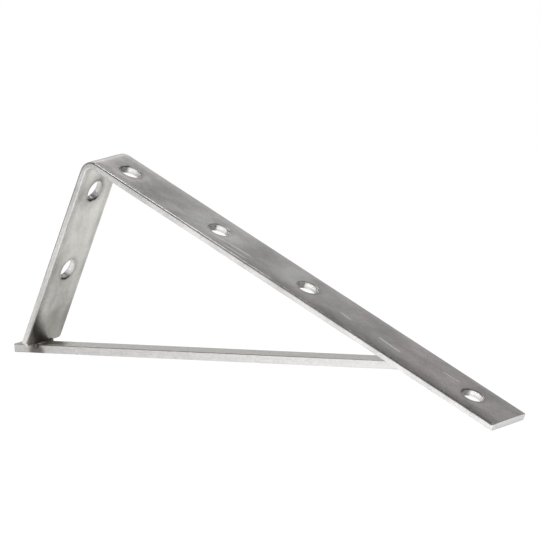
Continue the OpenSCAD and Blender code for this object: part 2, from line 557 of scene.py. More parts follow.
def strip_tone(place, drift, on_outer_face, on_side):
    """The strip's darker stripe and margins, the painted shade round its holes, and its clouds"""
    along_bar, across_bar = parts(place)[:2]
    # The bar is darker beside its near edge, more and more from about the middle of the load arm on.
    stripe = fall(drift * STRIPE_SWAY + across_bar, *STRIPE_ACROSS) * rise(along_bar, *STRIPE_START)
    ring, shaded_side = hole_rings_and_shade(place)
    # Both margins of the wall arm are darker, and so is the far margin towards the tip.
    wall_margin = rise(abs(across_bar), *WALL_MARGIN) * (on_side * (SIDE_SHARE - 1.0) + 1.0)
    tip_margin = rise(across_bar, *TIP_MARGIN) * rise(along_bar, *TIP_MARGIN_START)
    margin = wall_margin * fall(along_bar, bend_start, bend_end) + tip_margin
    # The rings round the holes and their darker sides are painted shade.
    darkening = stripe * on_outer_face * STRIPE_TONE + ring * RING_SHADE
    darkening = darkening + shaded_side * FACE_SIDE_SHADE + margin * MARGIN_TONE
    return clouds(place, drift) - darkening


def brace_near_side_shade(place, half_width):
    """The brace's near side is painted darker by its foot, as the floor's shade mirrored there, less and less
    towards the tip
    """
    along_bar, across_bar = parts(place)[:2]
    near_side = fall(across_bar + half_width, *NEAR_SIDE_BLEND)
    return near_side * fall(along_bar, *NEAR_SIDE_SHADE_ALONG) * NEAR_SIDE_SHADE_TONE


# %% Colours and grain of the bars' steel
COOL_STEEL = (0.765, 0.775, 0.745, 1)
WARM_STEEL = (0.785, 0.735, 0.725, 1)
SIDE_STEEL = (0.775, 0.76, 0.745, 1)
INNER_STEEL = (0.785, 0.775, 0.73, 1)
SCRATCHED_STEEL = (0.95, 0.95, 0.94, 1)
SCRATCH_SCATTER = 0.34          # share of the light that the torn metal of a scratch scatters
WARMTH_AT_FOOT = -0.3           # the outer face drifts from greenish at the foot to pinkish at the tip
WARMTH_PER_M, WARMTH_RANGE = 1.8, (-0.5, 0.5)
DRIFTS_PER_M = (26, 60, 60)
STEEL_ROUGHNESS, PATCH_ROUGHNESS, HEAT_SHADE_ROUGHNESS = 0.26, 0.05, 0.12
SIDE_BLEND = (-0.8 * MM, -0.2 * MM)         # distances past the side between which its own colour sets in
OUTER_BLEND = (0.8 * BAR_T, 0.95 * BAR_T)   # and the same for the outer face, from the inner one
HEAT_SHADE_SKIN = (0.3 * MM, 1.0 * MM)          # depths from the inner face between which its tarnish and painted shade end
LINE_DEPTH, PATCH_DEPTH, PATCH_SIZE = 0.002 * MM, 0.014 * MM, 9 * MM
LINE_TONE, EDGE_TONE = 0.09, 0.06
SPECK_SIZE, SPECK_TONE = (1.6 * MM, 0.9 * MM, 0.9 * MM), 0.22


# %% Helpers that start a metal and give it relief
def new_metal(name, roughness):
    """A metal material: (material, its tree, its Principled shader)"""
    material = bpy.data.materials.new(name)
    material.use_nodes = True
    tree = material.node_tree
    shader = tree.nodes["Principled BSDF"]
    shader.inputs["Metallic"].default_value = 1.0
    shader.inputs["Roughness"].default_value = roughness
    return material, tree, shader


def link_bump(shader, height):
    """Gives a metal a relief, as a height in metres"""
    bump = node_out(height.tree, "ShaderNodeBump", {"Height": height, "Distance": 1.0, "Strength": 1.0})
    send(shader.inputs, {"Normal": bump})


# %% The steel of a rolled bar
def bar_steel(name, half_width, line_length, line_width, patch_tone, heat_and_shade_spots, is_strip=False):
    """Rolled bar: lines, patches, polished edges, scratches, the tarnish round the welds, and painted shade"""
    material, tree, shader = new_metal(name, STEEL_ROUGHNESS)
    place = node_out(tree, "ShaderNodeAttribute", output="Vector", attribute_name="blank")
    along_bar, across_bar, through = parts(place)
    skin = finish_group(tree, rolled_skin, {
        "Place": place, "Line Length": line_length, "Line Width": line_width, "Line Depth": LINE_DEPTH,
        "Patch Size": PATCH_SIZE, "Patch Depth": PATCH_DEPTH})
    edges = finish_group(tree, edge_polish, {"Place": place, "Half Width": half_width})
    drift = noise(place * DRIFTS_PER_M)
    on_outer_face = rise(through, *OUTER_BLEND)
    on_side = rise(abs(across_bar) - half_width, *SIDE_BLEND)
    warmth = rise(drift + along_bar * WARMTH_PER_M + WARMTH_AT_FOOT, *WARMTH_RANGE)
    steel = mix_color(on_outer_face, INNER_STEEL, mix_color(warmth, COOL_STEEL, WARM_STEEL))
    steel = mix_color(on_side, steel, SIDE_STEEL)
    tone = skin["Lines"] * LINE_TONE + 1.0 + skin["Patches"] * patch_tone + edges["Edge"] * EDGE_TONE
    tone = tone + noise(place / SPECK_SIZE, grit=0.7) * SPECK_TONE
    heat_and_shade = heat_and_shade_of(tree, heat_and_shade_spots)
    if is_strip:
        tone = tone + strip_tone(place, drift, on_outer_face, on_side)
        # The weld's heat tint and the painted shade by the foot lie only on the inner face.
        heat_and_shade = heat_and_shade * fall(through, *HEAT_SHADE_SKIN)
    else:
        # The brace's near side is painted darker: the mirrored shade of the floor by the foot.
        tone = tone - brace_near_side_shade(place, half_width)
    steel = finish_group(tree, tarnish, {"Color": shade(steel, tone), "Heat": heat_and_shade})["Color"]
    if is_strip:
        mark = scratch_marks(place)
        steel = mix_color(mark, steel, SCRATCHED_STEEL)
        send(shader.inputs, {"Metallic": 1.0 - mark * SCRATCH_SCATTER})
    rough = skin["Patches"] * PATCH_ROUGHNESS + STEEL_ROUGHNESS + heat_and_shade * HEAT_SHADE_ROUGHNESS
    send(shader.inputs, {"Base Color": steel, "Roughness": rough})
    link_bump(shader, skin["Height"] * edges["Calm"])
    return material


strip_heat_and_shade = (FOOT_SHADE, FOOT_SHADE_HAZE, TIP_HEAT)
brace_heat_and_shade = (STUB_SHADE, BEAD_HEAT_AND_SHADE, TIP_HEAT)
brace_half_w = (brace_high.y - brace_low.y) / 2
strip_steel = bar_steel("rolled_strip_steel", HALF_W, line_length=30 * MM, line_width=0.5 * MM,
                        patch_tone=0.38, heat_and_shade_spots=strip_heat_and_shade, is_strip=True)
brace_steel = bar_steel("rolled_brace_steel", brace_half_w, line_length=45 * MM, line_width=0.35 * MM,
                        patch_tone=0.05, heat_and_shade_spots=brace_heat_and_shade)

# %% [markdown]
# A punch leaves two zones in a hole: a band that it burnished smooth on the way in and, below it, a duller
# band where the metal tore. The shear leaves the same two bands on the cut ends. Both are streaked along the
# stroke, across the bar's thickness, so this finish stretches its lines along the blank's third axis.

# %% Material of the punched and sheared faces
BURNISHED_STEEL = (0.86, 0.85, 0.835, 1)
TORN_STEEL = (0.76, 0.75, 0.735, 1)
BURNISHED_ROUGHNESS, TORN_ROUGHNESS = 0.26, 0.4
TORN_DEPTH, TORN_SWAY = 1.6 * MM, 0.6 * MM      # where the torn band ends, above the inner face
TORN_CELL, TORN_BLEND = (2 * MM, 2 * MM, 4 * MM), 0.3 * MM
STREAK_CELL, STREAK_TONE, STREAK_DEPTH = (0.45 * MM, 0.45 * MM, 8 * MM), 0.25, 0.006 * MM
GRIT_SIZE, GRIT_DEPTH = 0.3 * MM, 0.01 * MM
BORE_SCATTER = 0.5              # share of the light that the torn metal in the wall arm's holes scatters


def cut_steel():
    """Steel that a punch or a shear has cut"""
    material, tree, shader = new_metal("sheared_steel", BURNISHED_ROUGHNESS)
    place = node_out(tree, "ShaderNodeAttribute", output="Vector", attribute_name="blank")
    along_bar, _, through = parts(place)
    streaks = noise(place / STREAK_CELL, detail=3.0, grit=0.6)
    border = noise(place / TORN_CELL) * TORN_SWAY + TORN_DEPTH
    torn = fall(through - border, -TORN_BLEND, TORN_BLEND)
    ring, shaded_side = hole_rings_and_shade(place)
    # The side of each bore towards the wall arm's foot is painted darker, as shade.
    tone = streaks * STREAK_TONE + 1.0 - shaded_side * BORE_SIDE_SHADE
    matt = ring * fall(along_bar, bend_start, bend_end)
    send(shader.inputs, {
        "Base Color": shade(mix_color(torn, BURNISHED_STEEL, TORN_STEEL), tone),
        "Roughness": torn * (TORN_ROUGHNESS - BURNISHED_ROUGHNESS) + BURNISHED_ROUGHNESS,
        "Metallic": 1.0 - matt * BORE_SCATTER})
    link_bump(shader, streaks * STREAK_DEPTH + noise(place / GRIT_SIZE) * torn * GRIT_DEPTH)
    return material


sheared_steel = cut_steel()

# %% [markdown]
# Weld metal is duller than the bars and freezes with a skin of its own, brown and blue-grey in patches, with
# small bright points where the skin flaked off.

# %% Material of the weld beads
WELD_ROUGHNESS, FLAKED_ROUGHNESS = 0.48, 0.28
WELD_SKIN_SIZE, WELD_GRAIN_SIZE, WELD_RELIEF = 1.6 * MM, 0.4 * MM, 0.03 * MM
FLAKED_STEEL, FLAKING, SKIN_PATCHES = (0.85, 0.84, 0.82, 1), (0.62, 0.85), (-0.4, 0.4)


def weld_metal(name, dark_skin, light_skin):
    """Frozen weld metal, patched between a dark and a light skin"""
    material, tree, shader = new_metal(name, WELD_ROUGHNESS)
    here = node_out(tree, "ShaderNodeTexCoord", output="Object")
    skin = noise(here / WELD_SKIN_SIZE, detail=3.0, grit=0.6)
    grain = noise(here / WELD_GRAIN_SIZE)
    flaked = rise(skin + grain, *FLAKING)
    skin_color = mix_color(rise(skin, *SKIN_PATCHES), dark_skin, light_skin)
    send(shader.inputs, {
        "Base Color": mix_color(flaked, skin_color, FLAKED_STEEL),
        "Roughness": flaked * (FLAKED_ROUGHNESS - WELD_ROUGHNESS) + WELD_ROUGHNESS})
    link_bump(shader, (grain + skin) * WELD_RELIEF)
    return material


BURNT_SKINS = ((0.10, 0.09, 0.08, 1), (0.20, 0.195, 0.19, 1))
CLEAN_SKINS = ((0.62, 0.61, 0.59, 1), (0.74, 0.73, 0.71, 1))
burnt_weld = weld_metal("burnt_weld_metal", *BURNT_SKINS)
clean_weld = weld_metal("clean_weld_metal", *CLEAN_SKINS)
metals = (strip_steel, brace_steel, sheared_steel, burnt_weld, clean_weld)
print("materials:", ", ".join(metal.name for metal in metals))

# %% [markdown]
# ## The flat blank
# The real strip is cut from flat bar, punched and then bent, and it is modelled in that order. A boolean
# would cut the holes in one line, but it leaves long thin faces that show up in a reflection. Here each hole
# gets a square block of its own whose rings run from the round rim out to straight edges, and plain grids
# join the blocks. The mesh is then even everywhere, and the bend can curve it smoothly.

# %% A sheet collects grids of points and becomes one mesh
COLUMNS = 24                   # cells across the bar, and along each side of a hole's block
CORNER_CELLS = 6               # cells round each corner of an end
ARC_STEPS = 8                  # steps round a rolled edge
ROLLED, CUT = 0, 1             # zones: rolled surface, and sheared or punched surface
SEAM_GAP = 1e-6                # points of two grids that lie closer than this are one point


class Sheet:
    """Vertices and quads, gathered grid by grid"""

    def __init__(self):
        self.points, self.quads, self.zones = [], [], []

    def grid(self, rows, zone=ROLLED):
        """Adds a grid of points, as a list of equally long rows, with a quad in each cell"""
        start, width = len(self.points), len(rows[0])
        for row in rows:
            self.points.extend(row)
        for i in range(len(rows) - 1):
            for j in range(width - 1):
                a = start + i * width + j
                self.quads.append((a, a + 1, a + width + 1, a + width))
                self.zones.append(zone)

    def mesh(self, name):
        """The mesh, with the seams between its grids merged and its faces pointing outwards"""
        mesh = bpy.data.meshes.new(name)
        mesh.from_pydata([tuple(p) for p in self.points], [], self.quads)
        mesh.attributes.new("zone", "INT", "FACE").data.foreach_set("value", self.zones)
        work = bmesh.new()
        work.from_mesh(mesh)
        bmesh.ops.remove_doubles(work, verts=work.verts, dist=SEAM_GAP)
        bmesh.ops.recalc_face_normals(work, faces=work.faces)
        open_edges = sum(1 for e in work.edges if len(e.link_faces) != 2)
        for face in work.faces:
            face.smooth = True
        work.to_mesh(mesh)
        work.free()
        print("%s: %d faces, %d open edges" % (name, len(mesh.polygons), open_edges))
        return mesh


# %% Helpers that space points out
def lerp(a, b, t):
    """The value at the share t of the way from a to b"""
    return a + (b - a) * t


def spread(a, b, count):
    """count + 1 values from a to b"""
    return [lerp(a, b, i / count) for i in range(count + 1)]


def quarter_turn(steps):
    """Angles from 0 to a right angle"""
    return [math.pi / 2 * i / steps for i in range(steps + 1)]


# %% Outline of the blank, with the edge radius that each stretch has
# A place on the blank is (s, v, w): s runs along it, v across, and w through it from the inner face.
# An outline point is (s, v, normal along s, normal along v, edge radius).
def end_outline(s_end, outward, corner_r):
    """Outline round one end of the blank, from the -v side to the +v side"""
    points = []
    for j in range(COLUMNS + 1):
        side = -1 if j <= COLUMNS // 2 else 1
        step = min(j, COLUMNS - j)
        if step <= CORNER_CELLS:
            turn = step / CORNER_CELLS
            ns, nv = outward * math.sin(turn * math.pi / 2), side * math.cos(turn * math.pi / 2)
            s = s_end - outward * corner_r + corner_r * ns
            v = side * (HALF_W - corner_r) + corner_r * nv
            points.append((s, v, ns, nv, lerp(EDGE_R, CUT_EDGE_R, turn)))
        else:
            share = (j - CORNER_CELLS) / (COLUMNS - 2 * CORNER_CELLS)
            points.append((s_end, lerp(-1, 1, share) * (HALF_W - corner_r), outward, 0, CUT_EDGE_R))
    return points


def face_edge(point):
    """Where the flat face ends, inside an outline point"""
    s, v, ns, nv, edge_r = point
    return s - ns * edge_r, v - nv * edge_r


foot_outline = end_outline(0, -1, FOOT_CORNER_R)
tip_outline = end_outline(blank_length, 1, TIP_CORNER_R)
FACE_HALF_W = HALF_W - EDGE_R
columns = spread(-FACE_HALF_W, FACE_HALF_W, COLUMNS)

# %% Stations along the blank: a block round each hole, and plain stretches between them
BLOCK_HALF = 11 * MM
CELL = 1.6 * MM                # rough length of a plain cell
BEND_CELLS = 28                # close cells across the bend
BEND_MARGIN = 1 * MM           # the close cells start this far before the bend and end this far after it
MARGIN_CELLS = 2               # between the close cells and the blocks
END_ROWS = 12                  # rows between an end and the block nearest to it


def stretch(start, end):
    """Stations of a plain stretch, closer together where it crosses the bend"""
    if start < bend_start < end:
        before = spread(start, bend_start - BEND_MARGIN, MARGIN_CELLS)
        across = spread(bend_start - BEND_MARGIN, bend_end + BEND_MARGIN, BEND_CELLS)
        return before + across[1:] + spread(bend_end + BEND_MARGIN, end, MARGIN_CELLS)[1:]
    return spread(start, end, max(2, round((end - start) / CELL)))


block_ends = [(s - BLOCK_HALF, s + BLOCK_HALF) for s in hole_places]
foot_station = block_ends[0][0]
tip_station = block_ends[-1][1]
plain = [stretch(a[1], b[0]) for a, b in zip(block_ends, block_ends[1:])]
blocks = [spread(a, b, COLUMNS) for a, b in block_ends]
print(len(blocks), "blocks, and plain stretches of", [len(stations) - 1 for stations in plain], "cells")

# %% Rings that join a round hole to its square block
PUNCHED_RIM = (0.5 * MM, 0.45 * MM)     # reach across the face and depth, on the face that the punch entered
BACK_RIM = (0.2 * MM, 0.2 * MM)         # on the other face the rim is nearly sharp
RIM_STEPS = 8                  # steps round a drawn-in rim
HALO = 3.0 * MM                # round rings outside the rim before they start to turn square
HALO_RINGS, SQUARE_RINGS = 8, 6
RING_CELLS = 4 * COLUMNS
FIRST_CORNER = 225             # in degrees: where the block's corner at its low s and low v lies


def rim_size(s_hole, w):
    """The load arm was punched from its outer face, and the wall arm from its inner face"""
    punched = w > 0 if s_hole > bend_end else w == 0
    return PUNCHED_RIM if punched else BACK_RIM


def ring(s_hole, radius, w):
    """A closed ring round a hole, which starts at the block's corner"""
    turns = [math.radians(FIRST_CORNER + 360 * i / RING_CELLS) for i in range(RING_CELLS + 1)]
    return [(s_hole + radius * math.cos(a), radius * math.sin(a), w) for a in turns]


def block_border(stations, w):
    """The block's border, point for point beside the ring"""
    low, high = stations[0], stations[-1]
    border = [(s, -FACE_HALF_W, w) for s in stations[:-1]]
    border += [(high, v, w) for v in columns[:-1]]
    border += [(s, FACE_HALF_W, w) for s in stations[:0:-1]]
    border += [(low, v, w) for v in columns[:0:-1]]
    return border + [border[0]]


def between(row_a, row_b, t):
    """The row of points at the share t of the way from one row to another"""
    return [tuple(lerp(a, b, t) for a, b in zip(p, q)) for p, q in zip(row_a, row_b)]


# %% Draw both faces: the two ends, the plain stretches and the blocks
blank = Sheet()
for w in (0, BAR_T):
    for station, outline in ((foot_station, foot_outline), (tip_station, tip_outline)):
        straight = [(station, v, w) for v in columns]
        end = [(*face_edge(point), w) for point in outline]
        blank.grid([between(straight, end, t) for t in spread(0, 1, END_ROWS)])
    for stations in plain:
        blank.grid([[(s, v, w) for v in columns] for s in stations])
    for s_hole, stations in zip(hole_places, blocks):
        rim_r = HOLE_R + rim_size(s_hole, w)[0]
        rings = [ring(s_hole, r, w) for r in spread(rim_r, rim_r + HALO, HALO_RINGS)]
        border = block_border(stations, w)
        blank.grid(rings + [between(rings[-1], border, t) for t in spread(0, 1, SQUARE_RINGS)[1:]])
print("faces drawn:", len(blank.quads), "quads")

# %% Draw the bore of each hole, with its drawn-in rims
BORE_ROWS = 4


def rim_profile(s_hole, w):
    """(radius, depth below the flat face) from the face into the bore: a quarter of an ellipse"""
    reach, depth = rim_size(s_hole, w)
    turns = quarter_turn(RIM_STEPS)
    return [(HOLE_R + reach * (1 - math.sin(a)), depth * (1 - math.cos(a))) for a in turns]


for s_hole in hole_places:
    outer_rim = [(r, BAR_T - depth) for r, depth in rim_profile(s_hole, BAR_T)]
    inner_rim = rim_profile(s_hole, 0)[::-1]
    bore = [(HOLE_R, w) for w in spread(outer_rim[-1][1], inner_rim[0][1], BORE_ROWS)[1:-1]]
    rows = [ring(s_hole, r, w) for r, w in outer_rim + bore + inner_rim]
    blank.grid(rows[:RIM_STEPS])
    blank.grid(rows[RIM_STEPS - 1:-RIM_STEPS + 1], CUT)
    blank.grid(rows[-RIM_STEPS:])
print("with bores:", len(blank.quads), "quads")

# %% Draw the edge that runs round the blank
SIDE_ROWS = 3


def edge_profile(point):
    """Points down the edge at one outline point, from the outer face to the inner face"""
    s, v, ns, nv, edge_r = point
    inner_depth = edge_r * INNER_EDGE_R / EDGE_R
    arc = [(edge_r * (1 - math.sin(a)), 1 - math.cos(a)) for a in quarter_turn(ARC_STEPS)]
    steps = [(inset, BAR_T - edge_r * depth) for inset, depth in arc]
    steps += [(0, w) for w in spread(BAR_T - edge_r, inner_depth, SIDE_ROWS)[1:-1]]
    steps += [(inset, inner_depth * depth) for inset, depth in reversed(arc)]
    return [(s - ns * inset, v - nv * inset, w) for inset, w in steps]


def side_stations():
    """Every station along a long edge, in the same places as on the faces"""
    stations = spread(foot_outline[0][0], foot_station, END_ROWS)
    for i, block in enumerate(blocks):
        stations += block[1:]
        if i < len(plain):
            stations += plain[i][1:]
    return stations + spread(tip_station, tip_outline[0][0], END_ROWS)[1:]


for side in (-1, 1):
    blank.grid([edge_profile((s, side * HALF_W, 0, side, EDGE_R)) for s in side_stations()])
for outline in (foot_outline, tip_outline):
    blank.grid([edge_profile(point) for point in outline], CUT)
print("with edges:", len(blank.quads), "quads")

# %% Sink the faces round the holes, and crown them towards the long edges
DISH_DEPTH = 0.16 * MM         # the punch pulls the face down round a hole
DISH_REACH = 5.5 * MM
CROWN_DEPTH = 0.28 * MM        # the rolls leave the face a little lower along its edges
CROWN_REACH = 6.5 * MM


def settled(points):
    """The blank's points, with both faces moved towards the middle of the bar by the dishes and the crown"""
    s, v, w = np.array(points).T
    depth = CROWN_DEPTH * (np.maximum(0, np.abs(v) - HALF_W + CROWN_REACH) / CROWN_REACH) ** 2
    for s_hole in hole_places:
        share = np.maximum(0, np.hypot(s - s_hole, v) - HOLE_R - PUNCHED_RIM[0]) / DISH_REACH
        depth += DISH_DEPTH * np.exp(-2 * share ** 2)
    return np.column_stack((s, v, w + depth * (1 - 2 * w / BAR_T)))


blank.points = settled(blank.points)
blank_mesh = blank.mesh("angle_strip_blank")

# %% [markdown]
# ## Bending the blank
# A press brake leaves traces that a plain arc lacks: across the bend the bar pulls hollow in the middle, and
# its outer skin is drawn in at the sides. The bend is therefore a rule for every point of the blank, written
# as a Geometry Nodes tree, with the hollow and the draw-in as named inputs.

# %% Steps that the trees share
def store_blank(geometry, place):
    """Keeps each point's place on the straight bar, for the finishes that follow the bar"""
    inputs = {"Geometry": geometry, "Name": "blank", "Value": place}
    return node_out(geometry.tree, "GeometryNodeStoreNamedAttribute", inputs, data_type="FLOAT_VECTOR",
                    domain="POINT")


def moved_to(geometry, x, y, z):
    """The geometry with its points at new places"""
    inputs = {"Geometry": geometry, "Position": join(geometry.tree, x, y, z)}
    return node_out(geometry.tree, "GeometryNodeSetPosition", inputs)


def realized(geometry):
    """The geometry with its instances made real, as one mesh"""
    return node_out(geometry.tree, "GeometryNodeRealizeInstances", {0: geometry})


def with_material(geometry, metal, selection=True):
    """The geometry with a material on its selected faces"""
    inputs = {"Geometry": geometry, "Selection": selection, "Material": metal}
    return node_out(geometry.tree, "GeometryNodeSetMaterial", inputs)


# %% A tree that bends a flat blank into the L
BELL_SHARPNESS = 2.2           # the higher, the closer the distortion stays to the bend's middle
HOLLOW, DRAW_IN = 0.15 * MM, 0.3 * MM


def bend_tree():
    """Bends the blank, and gives its rolled and its cut faces their metals"""
    tree, size, result = new_tree(
        "GeometryNodeTree", "bend_blank",
        ("Geometry", "Bend Start", "Bend Length", "Inside Radius", "Thickness", "Half Width", "Bend Centre X",
         "Bend Centre Z", "Hollow", "Draw In", "Rolled Steel", "Sheared Steel"), ("Geometry",))
    place = node_out(tree, "GeometryNodeInputPosition")
    flat = store_blank(size["Geometry"], place)
    along, across, up = parts(place)
    past_start = along - size["Bend Start"]
    share = past_start / size["Bend Length"]
    turn = node_out(tree, "ShaderNodeClamp", {0: share}) * (math.pi / 2)
    # The bend's own distortion fades out on either side of it, as a bell curve does.
    bell = (((share - 0.5) * BELL_SHARPNESS) ** 2 * -1.0).apply("EXPONENT")
    hollow = bell * (1.0 - (across / size["Half Width"]) ** 2) * size["Hollow"]
    radius = size["Inside Radius"] + up - hollow
    draw_in = bell * (up / size["Thickness"]) * size["Draw In"]
    x = size["Bend Centre X"] - radius * turn.apply("COSINE") + greater(0.0, past_start - size["Bend Length"])
    y = across * (1.0 - draw_in / size["Half Width"])
    z = size["Bend Centre Z"] + radius * turn.apply("SINE") + lesser(0.0, past_start)
    rolled = with_material(realized(moved_to(flat, x, y, z)), size["Rolled Steel"])
    zone = node_out(tree, "GeometryNodeInputNamedAttribute", {"Name": "zone"}, data_type="INT")
    # The Compare node takes whole numbers in its third and fourth sockets.
    is_cut = node_out(tree, "FunctionNodeCompare", {2: zone, 3: CUT}, data_type="INT", operation="EQUAL")
    send(result, {"Geometry": with_material(rolled, size["Sheared Steel"], is_cut)})
    return tree


strip = grow("bent_strip", bend_tree(), {
    "Bend Start": bend_start, "Bend Length": BEND_LEN, "Inside Radius": BEND_R, "Thickness": BAR_T,
    "Half Width": HALF_W, "Bend Centre X": strip_low.x + OUTER_R, "Bend Centre Z": strip_high.z - OUTER_R,
    "Hollow": HOLLOW, "Draw In": DRAW_IN, "Rolled Steel": strip_steel, "Sheared Steel": sheared_steel},
    blank_mesh)

# %% [markdown]
# Weighted normals let each vertex of the flat faces follow the large face and not the small rounded edge
# beside it, so that a reflection runs straight up to the edge.

# %% A helper that evens out the shading and makes the result a plain mesh
def even_shading(piece):
    """Applies weighted normals, after any modifier that the piece already has"""
    modifier = piece.modifiers.new("weighted", "WEIGHTED_NORMAL")
    modifier.keep_sharp = True
    modifier.weight = 100
    mesh = evaluated_mesh(piece)
    piece.modifiers.clear()
    old = piece.data
    piece.data = mesh
    bpy.data.meshes.remove(old)
    mesh.name = piece.name


even_shading(strip)

# %% [markdown]
# ## The brace
# The brace is a narrower flat bar with rolled edges. Its section never changes, so it is a profile swept
# along a line. A rule then slides its points along the bar, none at the stub and the most at the far end,
# so that the last ring lies in the underside of the load arm.

# %% Find how the brace lies from its packed box
BRACE_T = 4.5 * MM
BRACE_EDGE_R = 0.5 * MM
ANGLE_ROUNDS = 20              # the angle depends on itself by a little, and settles in a few rounds
brace_size = brace_high - brace_low
brace_angle = math.atan2(brace_size.z, brace_size.x)
for _ in range(ANGLE_ROUNDS):
    brace_angle = math.atan2(brace_size.z, brace_size.x - BRACE_T * math.sin(brace_angle))
brace_along = Vector((math.cos(brace_angle), 0, math.sin(brace_angle)))
brace_up = Vector((-math.sin(brace_angle), 0, math.cos(brace_angle)))
stub_corner = Vector((brace_low.x, 0, brace_low.z + BRACE_T * math.cos(brace_angle)))
brace_line = (UNDERSIDE_Z - stub_corner.z) / math.sin(brace_angle)
print("brace at %.2f degrees, top edge %.1f mm long" % (math.degrees(brace_angle), brace_line / MM))


# %% A tree that sweeps a rolled bar and mitres its far end
BRACE_RINGS = 90
BRACE_EDGE_STEPS = 6


def brace_tree():
    """A bar along X whose far end meets a sloping plane"""
    tree, size, result = new_tree(
        "GeometryNodeTree", "rolled_bar",
        ("Geometry", "Width", "Thickness", "Edge Radius", "Length", "Mitre Slope", "Rolled Steel"),
        ("Geometry",))
    oblong = node_out(tree, "GeometryNodeCurvePrimitiveQuadrilateral",
                      {"Width": size["Width"], "Height": size["Thickness"]}, mode="RECTANGLE")
    rounding = {"Curve": oblong, "Radius": size["Edge Radius"], "Count": BRACE_EDGE_STEPS}
    section = node_out(tree, "GeometryNodeFilletCurve", rounding, mode="POLY")
    line = node_out(tree, "GeometryNodeCurvePrimitiveLine", {"End": join(tree, size["Length"], 0.0, 0.0)})
    path = node_out(tree, "GeometryNodeResampleCurve", {"Curve": line, "Count": BRACE_RINGS})
    swept = node_out(tree, "GeometryNodeCurveToMesh",
                     {"Curve": path, "Profile Curve": section, "Fill Caps": True})
    place = node_out(tree, "GeometryNodeInputPosition")
    along, across, up = parts(place)
    slide = (size["Thickness"] / 2.0 - up) * size["Mitre Slope"] * (along / size["Length"])
    marked = store_blank(moved_to(swept, along + slide, across, up), place)
    smooth = node_out(tree, "GeometryNodeSetShadeSmooth", {0: marked})
    send(result, {"Geometry": with_material(realized(smooth), size["Rolled Steel"])})
    return tree


brace = grow("brace", brace_tree(), {
    "Width": brace_size.y, "Thickness": BRACE_T, "Edge Radius": BRACE_EDGE_R, "Length": brace_line,
    "Mitre Slope": 1 / math.tan(brace_angle), "Rolled Steel": brace_steel})

# %% Lay the brace in its place, and break the edges of its cut ends
section_axes = Matrix((brace_along, Vector((0, 1, 0)), brace_up)).transposed().to_4x4()
section_axes.translation = stub_corner - brace_up * (BRACE_T / 2)
brace.data.transform(section_axes)
bevel = brace.modifiers.new("sheared end", "BEVEL")
bevel.width = 0.2 * MM
bevel.segments = 3
bevel.limit_method = "ANGLE"
bevel.angle_limit = math.radians(60)
even_shading(brace)
print("brace finished:", len(brace.data.polygons), "faces")

# %% [markdown]
# ## The weld beads
# Filler metal freezes in overlapping ripples. Each bead is a row of instanced lumps of slightly different
# size, turned into one skin by way of a volume, which melts the lumps together as the real metal did.

# %% A tree that lays one weld bead
LUMP_LENGTH = 0.8              # a lump's length along the bead, as a share of its width
UNEVENNESS = 0.12              # how much smaller than the radius a lump may be
BEAD_VOXEL = 0.22 * MM
SKIN_THRESHOLD = 0.1


def bead_tree():
    """A rippled bead along X"""
    tree, size, result = new_tree(
        "GeometryNodeTree", "weld_bead",
        ("Geometry", "Start X", "Length", "Centre Y", "Centre Z", "Radius", "Ripple Pitch", "Unevenness",
         "Seed", "Roof Z", "Weld Metal"), ("Geometry",))
    count = (size["Length"] / size["Ripple Pitch"]).apply("ROUND") + 1.0
    start = join(tree, size["Start X"], size["Centre Y"], size["Centre Z"])
    step = join(tree, size["Ripple Pitch"], 0.0, 0.0)
    row = node_out(tree, "GeometryNodeMeshLine", {"Count": count, "Start Location": start, "Offset": step},
                   mode="OFFSET", count_mode="TOTAL")
    lump = node_out(tree, "GeometryNodeMeshIcoSphere", {"Radius": 1.0, "Subdivisions": 3})
    # Each lump's size is drawn between the third and the fourth socket of the Random Value node.
    random_range = {2: 1.0 - size["Unevenness"], 3: 1.0, "Seed": size["Seed"]}
    wobble = node_out(tree, "FunctionNodeRandomValue", random_range, 1, data_type="FLOAT")
    lump_r = wobble * size["Radius"]
    scale = join(tree, lump_r * LUMP_LENGTH, lump_r, lump_r)
    lumps = node_out(tree, "GeometryNodeInstanceOnPoints", {"Points": row, "Instance": lump, "Scale": scale})
    volume = node_out(tree, "GeometryNodeMeshToVolume", {"Mesh": realized(lumps), "Voxel Size": BEAD_VOXEL},
                      resolution_mode="VOXEL_SIZE")
    skin = node_out(tree, "GeometryNodeVolumeToMesh",
                    {"Volume": volume, "Threshold": SKIN_THRESHOLD, "Adaptivity": 0.0})
    # Behind the wall face the bead stays under the foot of the arm, so that the bracket sits flat.
    x, y, z = parts(node_out(tree, "GeometryNodeInputPosition"))
    behind = x.math("LESS_THAN", x, 0.0)
    roofed = behind * lesser(z, size["Roof Z"]) + (1.0 - behind) * z
    smooth = node_out(tree, "GeometryNodeSetShadeSmooth", {0: moved_to(skin, x, y, roofed)})
    send(result, {"Geometry": with_material(realized(smooth), size["Weld Metal"])})
    return tree


# %% Lay the four beads, each from its node's packed box
bead_rule = bead_tree()
LOWER_BEAD_R = 2.6 * MM
UPPER_BEAD_R = 2.5 * MM
BEAD_SHRINK = 0.25 * MM        # how far the rippled skin of a bead keeps inside the bead's plain solid
SUNK_SHRINK = 0.75 * MM        # the lower front bead has sunk into its joint
